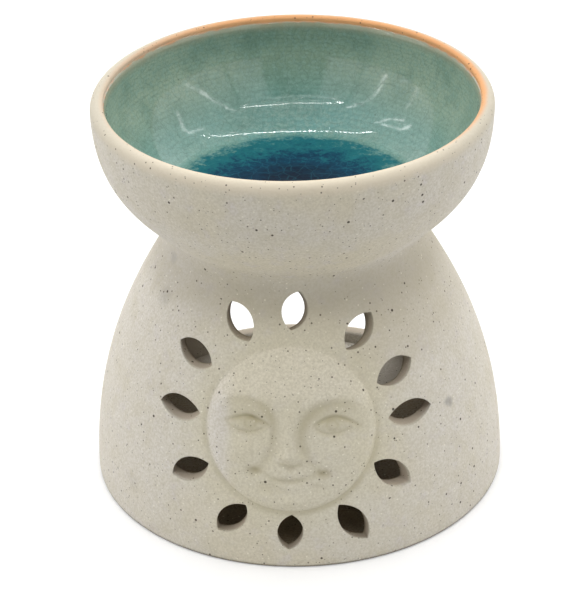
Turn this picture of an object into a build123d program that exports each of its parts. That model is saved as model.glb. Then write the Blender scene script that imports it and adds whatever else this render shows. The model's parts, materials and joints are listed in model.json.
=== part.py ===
# Essential oil burner: a pierced stoneware dome that carries an oil bowl over a tealight.
# Millimetres. +Z is up, the origin is the centre of the foot, the sun face looks towards -Y
# and the candle goes in through the arch on the +Y side.
import os
from math import cos, radians, sin, tan

from build123d import *

os.makedirs("parts", exist_ok=True)

# Dome: the pierced lower body. Slopes are degrees from vertical.
foot_radius = 64.15
foot_rounding = 0.9
dome_wall = 4.8
throat_radius = 39.95
throat_height = 82.1
throat_fillet = 8.7
dome_slope = 29.6
dome_foot_share = 0.523
dome_neck_share = 0.157

# Floor inside the foot of the dome
floor_thickness = 5.5

# Arch at the back, where the candle goes in over a low sill
sill_height = 9.4
arch_width = 60.0
arch_height = 50.0
arch_corner = 4.0
arch_rounding = 1.0

# Leaf piercings round the sun face, cut by hand, so each has its own turn, reach and knife
# direction. Turns are degrees from straight up, towards +X. The knife leans by a turn from
# straight ahead, towards +X, and by a lift from level.
ring_height = 46.0
leaf_inner_radius = 27.9
leaf_outer_radius = 40.2
leaf_width = 7.7
leaf_inner_turns = (-1, 36, 66, 90, 119, 153, 182, 210, 243, 274, 304, 332)
leaf_outer_turns = (3, 36, 64, 87, 121, 150, 183, 214, 244, 276, 304, 333)
leaf_inner_shares = (0.99, 0.95, 0.96, 0.99, 0.96, 1.02, 1.01, 1.05, 1.03, 1.00, 1.04, 0.98)
leaf_outer_shares = (0.97, 0.97, 0.96, 1.01, 1.00, 1.07, 0.99, 1.03, 1.02, 1.00, 1.01, 0.99)
knife_turns = (16, 36, 37, 10, 46, 20, 4, 0, -8, -8, -12, -10)
knife_lifts = (22, 21, 19, 0, -6, 12, 13, 11, 0, 0, 6, 12)

# Oil bowl
rim_radius = 60.0
rim_height = 126.3
rim_wall = 4.0
lip_outer_drop = 2.8
lip_inner_drop = 0.9
lip_crown_share = 0.14
bowl_slope = 45.6
bowl_foot_share = 0.231
bowl_rim_share = 0.573
bowl_floor_lift = 8.1
bowl_floor_thickness = 5.5
bowl_wall = 5.2
bowl_well_share = 0.72
bowl_turn_share = 0.12
bowl_inner_foot_share = 0.30
bowl_inner_rim_share = 0.56

# Glaze that lines the bowl, up to a drop below the rim, and the glass melted into its bottom
glaze_thickness = 0.5
glaze_drop = 1.2
pool_depth = 2.7

# Sun face: a round relief pressed on the dome, a little low and left of the ring's centre
face_radius = 25.2
face_shift = -0.9
face_drop = 2.0
face_turn = -2.1
face_rise = 2.2
face_rounding = 1.7

brow_radius = 0.9
lid_radius = 0.55
ridge_sink = 0.35
eye_radius = 5.0
eye_rise = 0.75
cheek_radius = 8.0
cheek_rise = 1.1
forehead_radius = 10.0
forehead_rise = 0.7
nose_root_radius = 1.3
nose_tip_radius = 2.7
nose_wing_radius = 1.7
nose_sink = 0.9
lip_radius = 1.2
lip_sink = 0.6
mouth_radius = 0.9
mouth_lift = 0.5
dimple_radius = 1.4
dimple_depth = 0.6
chin_radius = 4.4
chin_rise = 0.9

# Places on the face, as shares of its radius, across from the middle line and up
brow_shares = ((0.17, 0.11), (0.39, 0.33), (0.73, 0.27))
upper_lid_shares = ((0.24, 0.09), (0.50, 0.18), (0.77, 0.10))
lower_lid_shares = ((0.24, 0.09), (0.49, 0.01), (0.77, 0.10))
eye_share = (0.49, 0.09)
cheek_share = (0.54, -0.27)
forehead_share = (0.0, 0.45)
nose_root_share = (0.0, 0.17)
nose_tip_share = (0.0, -0.25)
nose_wing_share = (0.14, -0.31)
mouth_shares = ((-0.36, -0.48), (0.0, -0.59), (0.36, -0.48))
upper_lip_shares = ((-0.23, -0.50), (0.0, -0.54), (0.23, -0.50))
lower_lip_shares = ((-0.19, -0.59), (0.0, -0.66), (0.19, -0.59))
dimple_share = (0.38, -0.47)
chin_share = (0.0, -0.82)

# Tealight
cup_radius = 19.0
cup_height = 15.5
cup_taper = 0.5
cup_wall = 0.35
cup_bead = 0.5
wax_height = 13.0
sustainer_radius = 6.0
sustainer_thickness = 0.3
collar_radius = 1.5
collar_height = 3.2
wick_radius = 0.8
wick_height = 20.5

# One reach for every cut, longer than any wall is thick
overrun = 12.0


# Shared outlines, drawn on the XZ plane as radius and height
def throat_point(slope):
    """The point of the throat's arc where it leans by slope: inwards below, outwards above."""
    return (
        throat_radius + throat_fillet * (1 - cos(radians(slope))),
        throat_height - throat_fillet * sin(radians(slope)),
    )


def side_curve(foot, neck, slope, foot_share, neck_share):
    """Control points of a side that starts upright at its foot and leans in by slope at its neck."""
    rise = neck[1] - foot[1]
    drop = neck_share * rise
    return (
        foot,
        (foot[0], foot[1] + foot_share * rise),
        (neck[0] + drop * tan(radians(slope)), neck[1] - drop),
        neck,
    )


def raised(point, slope, rise):
    """A point of a leaning side, moved out along its normal."""
    return (point[0] + rise * cos(radians(slope)), point[1] + rise * sin(radians(slope)))


def outside_of_dome(rise):
    """The dome below its neck as a closed profile, raised by rise."""
    neck = raised(throat_point(dome_slope), dome_slope, rise)
    with BuildSketch(Plane.XZ) as profile:
        with BuildLine():
            side = Bezier(
                *side_curve((foot_radius + rise, 0), neck, dome_slope, dome_foot_share, dome_neck_share)
            )
            Polyline(side @ 1, (0, neck[1]), (0, 0), side @ 0)
        make_face()
    return profile.sketch


def bowl_wall_curve(inset):
    """Control points of the bowl's inside wall, from the rim down to the well."""
    start_radius, start_height = throat_point(-bowl_slope)
    well_top = throat_height + bowl_floor_lift + bowl_wall
    thickness = (bowl_wall + inset) / cos(radians(bowl_slope))
    edge_radius = start_radius + (well_top - start_height) * tan(radians(bowl_slope)) - thickness
    rim = (rim_radius - rim_wall - inset, rim_height - lip_inner_drop)
    rise = rim[1] - well_top
    foot = bowl_inner_foot_share * rise
    return (
        rim,
        (rim[0], rim[1] - bowl_inner_rim_share * rise),
        (edge_radius + foot * tan(radians(bowl_slope)), well_top + foot),
        (edge_radius, well_top),
    )


def bowl_well_curve(inset):
    """Control points of the bowl's dished floor, from the wall in to the axis."""
    edge_radius, edge_height = bowl_wall_curve(inset)[-1]
    turn = bowl_turn_share * edge_radius
    floor_height = throat_height + bowl_floor_lift + inset
    return (
        (edge_radius, edge_height),
        (edge_radius - turn * tan(radians(bowl_slope)), edge_height - turn),
        (bowl_well_share * edge_radius, floor_height),
        (0, floor_height),
    )


def hollow_of_bowl(inset):
    """The inside of the bowl as a closed profile, inset from the clay."""
    with BuildSketch(Plane.XZ) as profile:
        with BuildLine():
            wall = Bezier(*bowl_wall_curve(inset))
            well = Bezier(*bowl_well_curve(inset))
            Polyline(well @ 1, (0, rim_height - lip_inner_drop), wall @ 0)
        make_face()
    return profile.sketch


def hollow_of_cup():
    """The inside of the tealight's cup as a closed profile."""
    base = floor_thickness + cup_wall
    top = floor_thickness + cup_height
    inner_radius = cup_radius - cup_bead - cup_wall / 2
    with BuildSketch(Plane.XZ) as profile:
        with BuildLine():
            Polyline(
                (0, base),
                (inner_radius - cup_taper, base),
                (inner_radius, top),
                (0, top),
                close=True,
            )
        make_face()
    return profile.sketch


def meet(skin, plane, across, upward):
    """Where a ray down onto the plane at this spot first meets the skin, and the normal there."""
    start = plane.from_local_coords((across, upward, overrun))
    return skin.find_intersection_points(Axis(start, -plane.z_dir))[0]


# The throat's inner radius: one wall in from the neck, carried on up at the neck's slope
neck_point = throat_point(dome_slope)
inner_neck = neck_point[0] - dome_wall / cos(radians(dome_slope))
throat_inner_radius = inner_neck - (throat_height - neck_point[1]) * tan(radians(dome_slope))

# The dome as a solid body up to the throat: its skin carries the leaves and the face
with BuildPart() as dome_body:
    with BuildSketch(Plane.XZ):
        with BuildLine():
            side = Bezier(
                *side_curve((foot_radius, 0), neck_point, dome_slope, dome_foot_share, dome_neck_share)
            )
            neck = ThreePointArc(side @ 1, throat_point(dome_slope / 2), throat_point(0))
            Polyline(neck @ 1, (0, throat_height), (0, 0), side @ 0)
        make_face()
    revolve()
dome_skin = dome_body.part.shell()
ring_front = dome_skin.find_intersection_points(
    Axis((0, -foot_radius - overrun, ring_height), (0, 1, 0))
)[0]
ring_plane = Plane(ring_front[0], x_dir=(1, 0, 0), z_dir=ring_front[1])


def ring_spot(turn, reach):
    """The point of the dome's skin at a turn and reach from the ring's centre, and the normal there."""
    return meet(dome_skin, ring_plane, reach * sin(radians(turn)), reach * cos(radians(turn)))


def knife_direction(turn, lift):
    """The way out of the clay along the knife."""
    return (
        sin(radians(turn)) * cos(radians(lift)),
        -cos(radians(turn)) * cos(radians(lift)),
        sin(radians(lift)),
    )


def seen_along(plane, point):
    """A point of space as it falls onto the plane along its normal."""
    spot = plane.to_local_coords(point)
    return (spot.X, spot.Y)


# Dome shell: outside, hollow, arch and leaf piercings
with BuildPart() as dome_shell:
    add(dome_body.part)
    fillet(dome_shell.edges().group_by(Axis.Z)[0], foot_rounding)

    inner_foot = (foot_radius - dome_wall, floor_thickness)
    inner_throat = (throat_inner_radius, throat_height)
    with BuildSketch(Plane.XZ):
        with BuildLine():
            Bezier(
                *side_curve(inner_foot, inner_throat, dome_slope, dome_foot_share, dome_neck_share)
            )
            Polyline(inner_throat, (0, throat_height), (0, 0), (inner_foot[0], 0), inner_foot)
        make_face()
    revolve(mode=Mode.SUBTRACT)

    arch_radius = arch_width / 2
    spring_height = arch_height - arch_radius
    with BuildSketch(Plane.back) as arch:
        with BuildLine():
            Polyline(
                (-arch_radius, spring_height),
                (-arch_radius, sill_height),
                (arch_radius, sill_height),
                (arch_radius, spring_height),
            )
            ThreePointArc(
                (arch_radius, spring_height), (0, arch_height), (-arch_radius, spring_height)
            )
        make_face()
        fillet(arch.vertices().group_by(Axis.Y)[0], arch_corner)
    extrude(amount=foot_radius + overrun, mode=Mode.SUBTRACT)
    fillet(dome_shell.edges(Select.LAST), arch_rounding)

    leaf_places = zip(leaf_inner_turns, leaf_inner_shares, leaf_outer_turns, leaf_outer_shares)
    for place, knife_turn, knife_lift in zip(leaf_places, knife_turns, knife_lifts):
        inner_turn, inner_share, outer_turn, outer_share = place
        inner_tip = ring_spot(inner_turn, leaf_inner_radius * inner_share)[0]
        outer_tip = ring_spot(outer_turn, leaf_outer_radius * outer_share)[0]
        leaf_middle = (inner_tip + outer_tip) / 2
        middle_spot = ring_plane.to_local_coords(leaf_middle)
        leaf_normal = meet(dome_skin, ring_plane, middle_spot.X, middle_spot.Y)[1]
        half_width = (outer_tip - inner_tip).cross(leaf_normal).normalized() * leaf_width / 2
        knife = Plane(leaf_middle, z_dir=knife_direction(knife_turn, knife_lift))
        left_side = seen_along(knife, leaf_middle - half_width)
        right_side = seen_along(knife, leaf_middle + half_width)
        with BuildSketch(knife):
            with BuildLine():
                ThreePointArc(seen_along(knife, inner_tip), left_side, seen_along(knife, outer_tip))
                ThreePointArc(seen_along(knife, outer_tip), right_side, seen_along(knife, inner_tip))
            make_face()
        extrude(amount=overrun, both=True, mode=Mode.SUBTRACT)
dome_shell.part.label = "dome_shell"
export_step(dome_shell.part, "parts/dome_shell.step")


# Floor: a disc set inside the foot of the dome
with BuildPart() as base_floor:
    with BuildSketch():
        Circle(foot_radius - dome_wall)
    extrude(amount=floor_thickness)
base_floor.part.label = "base_floor"
export_step(base_floor.part, "parts/base_floor.step")


# Bowl: it stands on the throat with a short foot ring
with BuildPart() as bowl:
    floor_height = throat_height + bowl_floor_lift
    underside_height = floor_height - bowl_floor_thickness
    lip_height = rim_height - lip_outer_drop
    inner_lip_height = rim_height - lip_inner_drop
    crown_height = rim_height + lip_crown_share * (lip_outer_drop + lip_inner_drop)
    bowl_start = throat_point(-bowl_slope)
    bowl_rise = lip_height - bowl_start[1]
    bowl_foot = bowl_foot_share * bowl_rise
    with BuildSketch(Plane.XZ):
        with BuildLine():
            ThreePointArc(throat_point(0), throat_point(-bowl_slope / 2), bowl_start)
            Bezier(
                bowl_start,
                (bowl_start[0] + bowl_foot * tan(radians(bowl_slope)), bowl_start[1] + bowl_foot),
                (rim_radius, lip_height - bowl_rim_share * bowl_rise),
                (rim_radius, lip_height),
            )
            Bezier(
                (rim_radius, lip_height),
                (rim_radius, crown_height),
                (rim_radius - rim_wall, crown_height),
                (rim_radius - rim_wall, inner_lip_height),
            )
            Bezier(*bowl_wall_curve(0))
            Bezier(*bowl_well_curve(0))
            Polyline(
                (0, floor_height),
                (0, underside_height),
                (throat_inner_radius, underside_height),
                (throat_inner_radius, throat_height),
                (throat_radius, throat_height),
            )
        make_face()
    revolve()
bowl.part.label = "bowl"
export_step(bowl.part, "parts/bowl.step")


# Glaze: an even coat on the inside of the bowl, up to just under the lip
with BuildPart() as bowl_glaze:
    revolve(hollow_of_bowl(0))
    revolve(hollow_of_bowl(glaze_thickness), mode=Mode.SUBTRACT)
    split(bisect_by=Plane.XY.offset(rim_height - glaze_drop), keep=Keep.BOTTOM)
bowl_glaze.part.label = "bowl_glaze"
export_step(bowl_glaze.part, "parts/bowl_glaze.step")


# Glass pool: it fills the well of the bowl up to a level top
with BuildPart() as glass_pool:
    revolve(hollow_of_bowl(glaze_thickness))
    pool_height = throat_height + bowl_floor_lift + glaze_thickness + pool_depth
    split(bisect_by=Plane.XY.offset(pool_height), keep=Keep.BOTTOM)
glass_pool.part.label = "glass_pool"
export_step(glass_pool.part, "parts/glass_pool.step")


# Sun face: the raised skin and the forms that swell from it
with BuildPart() as raised_outside:
    revolve(outside_of_dome(face_rise))
face_skin = raised_outside.part.shell()
face_origin = ring_plane.from_local_coords((face_shift, -face_drop, 0))
face_plane = Plane(face_origin, x_dir=ring_plane.x_dir, z_dir=ring_plane.z_dir).rotated(
    (0, 0, face_turn)
)
with BuildPart() as face_column:
    with BuildSketch(face_plane):
        Circle(face_radius)
    extrude(amount=overrun, both=True)


def face_spot(share, side, sink):
    """A point of the face, given as shares of its radius, sunk along the normal there."""
    point, normal = meet(face_skin, face_plane, side * share[0] * face_radius, share[1] * face_radius)
    return point - normal * sink


def swelling(share, side, cap_radius, rise):
    """A ball that stands out of the curved face as a shallow cap."""
    ball_radius = 1 / (2 * rise / cap_radius**2 + 1 / foot_radius)
    with BuildPart() as ball:
        with Locations(face_spot(share, side, ball_radius - rise)):
            Sphere(ball_radius)
        add(face_column.part, mode=Mode.INTERSECT)
    return ball.part


def hollow(share, side, cap_radius, depth):
    """A ball in front of the face that dips into it as a shallow cap."""
    ball_radius = (cap_radius**2 + depth**2) / (2 * depth)
    with BuildPart() as ball:
        with Locations(face_spot(share, side, depth - ball_radius)):
            Sphere(ball_radius)
    return ball.part


def ridge(shares, side, radius, sink):
    """A round-ended ridge that follows an arc over the face."""
    start, middle, end = (face_spot(share, side, sink) for share in shares)
    with BuildPart() as tube:
        with BuildLine() as path:
            arc = ThreePointArc(start, middle, end)
        with BuildSketch(Plane(arc @ 0, z_dir=arc % 0)):
            Circle(radius)
        sweep()
        with Locations(start, end):
            Sphere(radius)
    return tube.part


def nose():
    """A tapered bridge from the brows to a round tip, with a wing on each side."""
    root = face_spot(nose_root_share, 1, nose_sink)
    tip = face_spot(nose_tip_share, 1, nose_sink)
    along = root - tip
    with BuildPart() as form:
        with BuildSketch(Plane(tip, z_dir=along)):
            Circle(nose_tip_radius)
        with BuildSketch(Plane(root, z_dir=along)):
            Circle(nose_root_radius)
        loft()
        with Locations(tip):
            Sphere(nose_tip_radius)
        with Locations(root):
            Sphere(nose_root_radius)
        with Locations(*(face_spot(nose_wing_share, side, nose_sink) for side in (-1, 1))):
            Sphere(nose_wing_radius)
    return form.part


face_forms = [
    swelling(forehead_share, 1, forehead_radius, forehead_rise),
    swelling(chin_share, 1, chin_radius, chin_rise),
    ridge(upper_lip_shares, 1, lip_radius, lip_sink),
    ridge(lower_lip_shares, 1, lip_radius, lip_sink),
    nose(),
]
for side in (-1, 1):
    face_forms.append(swelling(cheek_share, side, cheek_radius, cheek_rise))
    face_forms.append(swelling(eye_share, side, eye_radius, eye_rise))
    face_forms.append(ridge(brow_shares, side, brow_radius, ridge_sink))
    face_forms.append(ridge(upper_lid_shares, side, lid_radius, -ridge_sink))
    face_forms.append(ridge(lower_lid_shares, side, lid_radius, -ridge_sink))
face_hollows = [
    ridge(mouth_shares, 1, mouth_radius, -mouth_lift),
    *(hollow(dimple_share, side, dimple_radius, dimple_depth) for side in (-1, 1)),
]

with BuildPart() as sun_face:
    add(face_column.part)
    revolve(outside_of_dome(face_rise), mode=Mode.INTERSECT)
    front_edge = sun_face.edges().sort_by(Axis(face_plane.origin, face_plane.z_dir))[-1]
    fillet(front_edge, face_rounding)
    for form in face_forms:
        add(form)
    for form in face_hollows:
        add(form, mode=Mode.SUBTRACT)
    add(dome_body.part, mode=Mode.SUBTRACT)
sun_face.part.label = "sun_face"
export_step(sun_face.part, "parts/sun_face.step")


# Tealight cup: a thin tapered wall with a rolled rim
with BuildPart() as tealight_cup:
    outer_top = cup_radius - cup_bead + cup_wall / 2
    cup_top = floor_thickness + cup_height
    with BuildSketch(Plane.XZ):
        with BuildLine():
            Polyline(
                (0, floor_thickness),
                (outer_top - cup_taper, floor_thickness),
                (outer_top, cup_top),
                (0, cup_top),
                close=True,
            )
        make_face()
    revolve()
    with BuildSketch(Plane.XZ):
        with Locations((cup_radius - cup_bead, cup_top - cup_bead)):
            Circle(cup_bead)
    revolve()
    revolve(hollow_of_cup(), mode=Mode.SUBTRACT)
tealight_cup.part.label = "tealight_cup"
export_step(tealight_cup.part, "parts/tealight_cup.step")


# Wick sustainer: a steel disc on the cup's floor with a collar that grips the wick
with BuildPart() as wick_sustainer:
    cup_floor = floor_thickness + cup_wall
    disc_top = cup_floor + sustainer_thickness
    with BuildSketch(Plane.XY.offset(cup_floor)):
        Circle(sustainer_radius)
    extrude(amount=sustainer_thickness)
    with BuildSketch(Plane.XY.offset(disc_top)):
        Circle(collar_radius)
        Circle(wick_radius, mode=Mode.SUBTRACT)
    extrude(amount=collar_height)
wick_sustainer.part.label = "wick_sustainer"
export_step(wick_sustainer.part, "parts/wick_sustainer.step")


# Wick: it stands on the sustainer's disc and comes out of the wax
with BuildPart() as tealight_wick:
    with BuildSketch(Plane.XY.offset(disc_top)):
        Circle(wick_radius)
    extrude(amount=wick_height)
tealight_wick.part.label = "tealight_wick"
export_step(tealight_wick.part, "parts/tealight_wick.step")


# Wax: it fills the cup round the sustainer and the wick
with BuildPart() as tealight_wax:
    revolve(hollow_of_cup())
    split(bisect_by=Plane.XY.offset(floor_thickness + wax_height), keep=Keep.BOTTOM)
    add(wick_sustainer.part, mode=Mode.SUBTRACT)
    add(tealight_wick.part, mode=Mode.SUBTRACT)
tealight_wax.part.label = "tealight_wax"
export_step(tealight_wax.part, "parts/tealight_wax.step")
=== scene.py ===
# The looks of a stoneware oil burner: speckled clay, crackled celadon glaze, blue glass and a tealight.
# Metres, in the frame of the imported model: +Z is up and the sun face looks towards -Y.
import json
from math import cos, hypot, pi, radians, sin

import bmesh
import bpy
import numpy as np
from mathutils import Matrix, Vector


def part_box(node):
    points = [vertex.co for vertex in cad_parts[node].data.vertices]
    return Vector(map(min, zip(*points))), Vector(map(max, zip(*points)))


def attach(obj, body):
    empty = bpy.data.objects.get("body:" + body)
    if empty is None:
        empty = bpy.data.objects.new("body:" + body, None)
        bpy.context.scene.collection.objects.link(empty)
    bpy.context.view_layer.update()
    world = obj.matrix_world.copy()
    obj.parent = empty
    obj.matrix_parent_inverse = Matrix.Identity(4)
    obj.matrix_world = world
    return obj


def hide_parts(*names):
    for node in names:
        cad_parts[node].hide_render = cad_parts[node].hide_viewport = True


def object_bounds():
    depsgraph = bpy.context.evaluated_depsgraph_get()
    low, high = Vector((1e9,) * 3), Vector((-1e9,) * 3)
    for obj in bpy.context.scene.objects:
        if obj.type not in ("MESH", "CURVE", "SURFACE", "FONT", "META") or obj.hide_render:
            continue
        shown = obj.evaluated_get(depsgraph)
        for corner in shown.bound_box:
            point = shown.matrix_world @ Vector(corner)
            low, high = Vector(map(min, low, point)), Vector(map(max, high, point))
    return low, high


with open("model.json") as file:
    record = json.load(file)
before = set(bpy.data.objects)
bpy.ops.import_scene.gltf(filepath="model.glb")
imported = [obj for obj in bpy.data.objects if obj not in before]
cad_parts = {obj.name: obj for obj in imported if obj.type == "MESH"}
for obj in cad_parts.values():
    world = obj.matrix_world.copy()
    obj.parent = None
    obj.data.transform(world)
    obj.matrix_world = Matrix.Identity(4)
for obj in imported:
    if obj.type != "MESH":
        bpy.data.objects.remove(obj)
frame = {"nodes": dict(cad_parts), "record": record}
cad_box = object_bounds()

mm = 0.001
white = (1, 1, 1, 1)

# Camera, fitted to the rim and the foot of the photograph
camera_place = Vector((18.26, -663.81, 439.84)) * mm
camera_aim = Vector((-1.08, 0, 55.41)) * mm
camera_roll = radians(-1.28)
camera_lens = 148.33
camera_sensor = 36

# Light tent: two rows of small lamps under the ceiling, and a dark opening in the front panel.
# Its turns and heights are in degrees.
lamp_height = 520 * mm
lamp_rows = (
    # middle across and back, half length, bend, turn in degrees and number of lamps
    (3 * mm, -241 * mm, 252 * mm, 30 * mm, 4.8, 33),
    (31 * mm, 76 * mm, 298 * mm, 22 * mm, 2.3, 44),
)
lamp_width = 7 * mm
lamp_strength = 58
tent_strength = 1.0
ceiling_share = 1.12
ceiling_start = (15, 75)
opening_strength = 0.02
opening_side = (19, 23)
opening_top = (46, 54)
back_extra = 1.2
back_turn = (110, 150)
back_height = (28, 55)
fold_cloud = 0.16
fold_light = (0.25, 1.3)
folds = (
    # points as turn and height, width and extra light
    (((73, 15), (66.5, 27), (60, 43.5), (55, 51)), 2.7, 5.0),
    (((-50, 50), (-57, 43.5), (-61.7, 35), (-61, 15)), 2.5, 5.0),
    (((92, 28), (100, 36), (102, 41), (93, 46)), 3.0, 5.5),
    (((-83.5, 50), (-87, 40), (-94, 34)), 2.4, 5.0),
    (((-90, 46), (-100.5, 39), (-102.5, 32)), 2.8, 5.5),
    (((-73, 16), (-80, 5), (-86, 8), (-88, 27)), 2.4, 1.8),
    (((18, 50), (-38, 47)), 1.6, 1.6),
    (((45, -5), (44.6, 48)), 2.2, -0.85),
    (((-45, -5), (-44.6, 48)), 2.2, -0.85),
)

# Floor: bright in the tent and dark before it, with a glow that only the camera and reflections see
floor_radius = 3.0
floor_tone = 0.86
floor_glow = 0.17
room_tone = 0.3
room_glow = 0.75
tent_edge = (-250 * mm, -190 * mm)

# Dome: its throat runs on into the bowl's foot
weld_distance = 0.001 * mm
sharp_angle = radians(35)
skin_miss = 0.08 * mm
edge_softness = 0.35 * mm
throat_overlap = 1.2 * mm

# The dome's outer skin, which carries the face
skin_slice = 1 * mm
skin_heights = (6 * mm, 74 * mm)
skin_steps = 12

# Sun face: a net of rings and spokes round its middle, a little low and left of the ring of leaves
ring_height = 46 * mm
face_radius = 25.2 * mm
face_shift = (-0.9 * mm, -2.0 * mm)
face_turn = radians(-2.1)
face_rings = 130
face_spokes = 520
face_back_rings = 12
face_back_depth = 1.2 * mm
face_rise = 2.0
border_width = 4.5
border_sink = 0.3
brow_border_width = 9.0
brow_border_rise = 1.3

# Marks of the face, in mm across and up from its middle: place, size and rise of each swelling
swellings = {
    "forehead": ((0, 12), (14, 8), 0.6),
    "left socket": ((-11, 3.4), (8.5, 5), -0.9),
    "right socket": ((11.8, 3.4), (8.5, 5), -0.9),
    "left eyeball": ((-12.4, 2.2), (5.6, 2.8), 0.9),
    "right eyeball": ((12.6, 2.4), (5.6, 2.8), 0.9),
    "nose tip": ((0.1, -6.8), (3.3, 2.6), 0.8),
    "left nostril": ((-3.2, -7.8), (1.9, 1.7), 0.6),
    "right nostril": ((3.8, -7.8), (1.9, 1.7), 0.6),
    "left cheek": ((-13, -5.5), (7, 6), 1.2),
    "right cheek": ((13.5, -5.5), (7, 6), 1.2),
    "left dimple": ((-10, -12), (3.2, 2.0), -1.4),
    "right dimple": ((9.6, -12.4), (3.4, 1.9), -1.4),
    "left of the chin": ((-6.3, -17.2), (4.2, 2.2), -0.5),
    "right of the chin": ((8.2, -16.4), (4.2, 2.2), -0.5),
    "groove over the lip": ((0.2, -11.2), (1.2, 1.2), -0.25),
    "chin": ((0.2, -21), (5.5, 3), 0.9),
}
# and the points, width and rise of each ridge or crease
strokes = {
    "left brow and nose": (
        ((-19.6, 7), (-15.7, 8.6), (-12.2, 8.9), (-8.6, 7.7), (-6.2, 5.2), (-4.7, 1.1), (-4.9, -4.1),
         (-6.5, -8.2), (-9.1, -11.4)), 1.5, -0.5,
    ),
    "left brow ridge": (((-18.9, 9.4), (-12.5, 10.8), (-7.4, 9), (-4.2, 5.4)), 2.2, 0.4),
    "right brow and nose": (
        ((18.9, 7.1), (15.6, 8.5), (11.8, 8.5), (8.3, 7.4), (4.9, 4.7), (3, 0.7), (3, -3.8), (5.2, -8.3),
         (8.8, -11.7)), 1.9, -0.7,
    ),
    "right brow ridge": (((2.4, 5.4), (6.2, 9), (12, 10.4), (18.6, 8.8)), 2.2, 0.4),
    "left upper lid": (((-19.2, 2.2), (-15.6, 3.6), (-12.1, 4.2), (-8.5, 2.9), (-5.6, 1.5)), 0.8, -0.6),
    "right upper lid": (((6.3, 1.5), (9, 3.5), (12.8, 4.7), (16.3, 3.7), (20, 1.7)), 0.8, -0.6),
    "left lower lid": (((-18.6, 1.9), (-14.9, 0), (-10.8, -0.2), (-7, 1.3)), 0.8, -0.4),
    "right lower lid": (((6.6, 1.4), (10, -0.1), (13.8, 0.1), (17.6, 1.6)), 0.8, -0.4),
    "line under the nose": (((-3, -9.3), (0.3, -10.2), (3.8, -9.4)), 0.9, -0.5),
    "upper lip": (((-4.8, -12.9), (0.1, -12.4), (5, -12.6)), 1.4, 0.5),
    "mouth": (
        ((-7.8, -13.1), (-5, -14.3), (-2, -14.8), (1.9, -14.6), (4.8, -13.9), (7.6, -12.8)), 1.0, -0.5,
    ),
    "lower lip": (((-3.9, -16), (0.4, -16.8), (4.9, -15.7)), 1.5, 0.5),
}
# Iris rings and the bridge of the nose, which widens and rises from its root to its tip
irises = ((-11.4, 2.4), (11.7, 2.2))
iris_radius = 1.5
iris_width = 0.7
iris_depth = 0.22
nose_root = (-0.8, 5.0)
nose_tip = (-0.2, -6.4)
nose_widths = (2.2, 3.3)
nose_rises = (0.7, 2.0)
# How much shade is painted into the creases and hollows, for each mm of depth
crease_shade = 0.6
hollow_shade = 0.42

# Clay: its tones as a screen shows them
# Some tones are painted light and shade: side, left edge, brow and lit inside are lighter; crease, cut
# wall, inside, waist, shoulder and foot are shade
clay_tones = {
    "warm": (207, 200, 181),
    "cool": (207, 202, 190),
    "side": (211, 206, 198),
    "patch": (195, 188, 168),
    "lilac": (202, 196, 197),
    "olive": (206, 200, 174),
    "left edge": (216, 212, 214),
    "brow": (222, 215, 198),
    "crease": (158, 149, 112),
    "cut wall": (172, 155, 138),
    "inside": (124, 108, 82),
    "lit inside": (242, 238, 228),
    "waist": (124, 116, 98),
    "shoulder": (172, 163, 140),
    "grain": (178, 170, 149),
    "grog": (236, 232, 216),
    "foot": (70, 62, 44),
    "front lip": (214, 203, 182),
    "side lip": (194, 186, 168),
    "toasted lip": (222, 152, 86),
    "stain": (150, 146, 142),
    "iron": (58, 46, 36),
}
# Where a cloud starts to show and where it is full
cloud_spread = (0.3, 0.7)
# Size, detail and roughness of its clouds, their values at the start and end of the tone, and share
clay_clouds = {
    "cool": (26 * mm, 3.0, 0.55, 0.38, 0.62, 1),
    "patch": (7 * mm, 4.0, 0.6, 0.42, 0.75, 0.5),
    "lilac": (4.5 * mm, 3.0, 0.6, 0.52, 0.75, 0.45),
}
# Grey stains: place and radius in mm, and strength
stains = (
    ((-35.9, -17.6, 81), 3.2, 0.35),
    ((-38.7, -23.1, 70.8), 4.5, 0.3),
    ((31.7, -19.8, 81), 2.6, 0.3),
    ((46.2, -35.6, 40.5), 2.4, 0.7),
    ((-50.1, -39, 14.2), 4, 0.15),
)
stain_blur = 3 * mm
# Iron specks: cell, radius, share of the cells and strength
clay_specks = (
    (1.25 * mm, 0.24 * mm, 0.9, 0.55),
    (1.9 * mm, 0.36 * mm, 0.95, 0.75),
    (4.2 * mm, 0.52 * mm, 0.9, 0.9),
)
grog_specks = (1.6 * mm, 0.32 * mm, 0.8)
grain_size = 0.7 * mm
grain_depth = 0.08 * mm
coarse_size = 2.4 * mm
coarse_depth = 0.25 * mm
# Where tones start and end: round the face, into the wall and up the burner
front_depths = (-30 * mm, -24 * mm)
olive_reach = (25 * mm, 38 * mm)
left_highlight_edge = (-21 * mm, -16 * mm)
lit_brow_rise = (6 * mm, 13 * mm)
border_radius = face_radius + 0.4 * mm
border_shade = 1.9 * mm
border_shade_cloud = 11 * mm
cut_depths = (0.4 * mm, 1.6 * mm)
inside_depths = (3.2 * mm, 5.2 * mm)
arch_back = 50 * mm
arch_light = (19 * mm, 49 * mm)
foot_shadow_heights = (0.2 * mm, 1.3 * mm)
shoulder_start = (50 * mm, 66 * mm)
dome_end = (80.5 * mm, 81.5 * mm)
shoulder_end = (82 * mm, 90 * mm)
waist_height = 79 * mm
waist_reach = (2 * mm, 13 * mm)
lip_rise = (121.5 * mm, 125 * mm)
lip_wobble = (5 * mm, 1.2 * mm)
# The lip is toasted at its inner edge, most at the back and right
toasted_reach = 56.5 * mm
toasted_gain = 0.8 * mm
toasted_edge = (-1.3 * mm, 0.7 * mm)

# Glaze: throwing rings and a wavy upper edge that thins out on the clay
glaze_rows = 130
glaze_spokes = 360
glaze_back_rows = 30
glaze_sink = 0.1 * mm
glaze_feather = 1.4 * mm
edge_wave = 0.35 * mm
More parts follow.
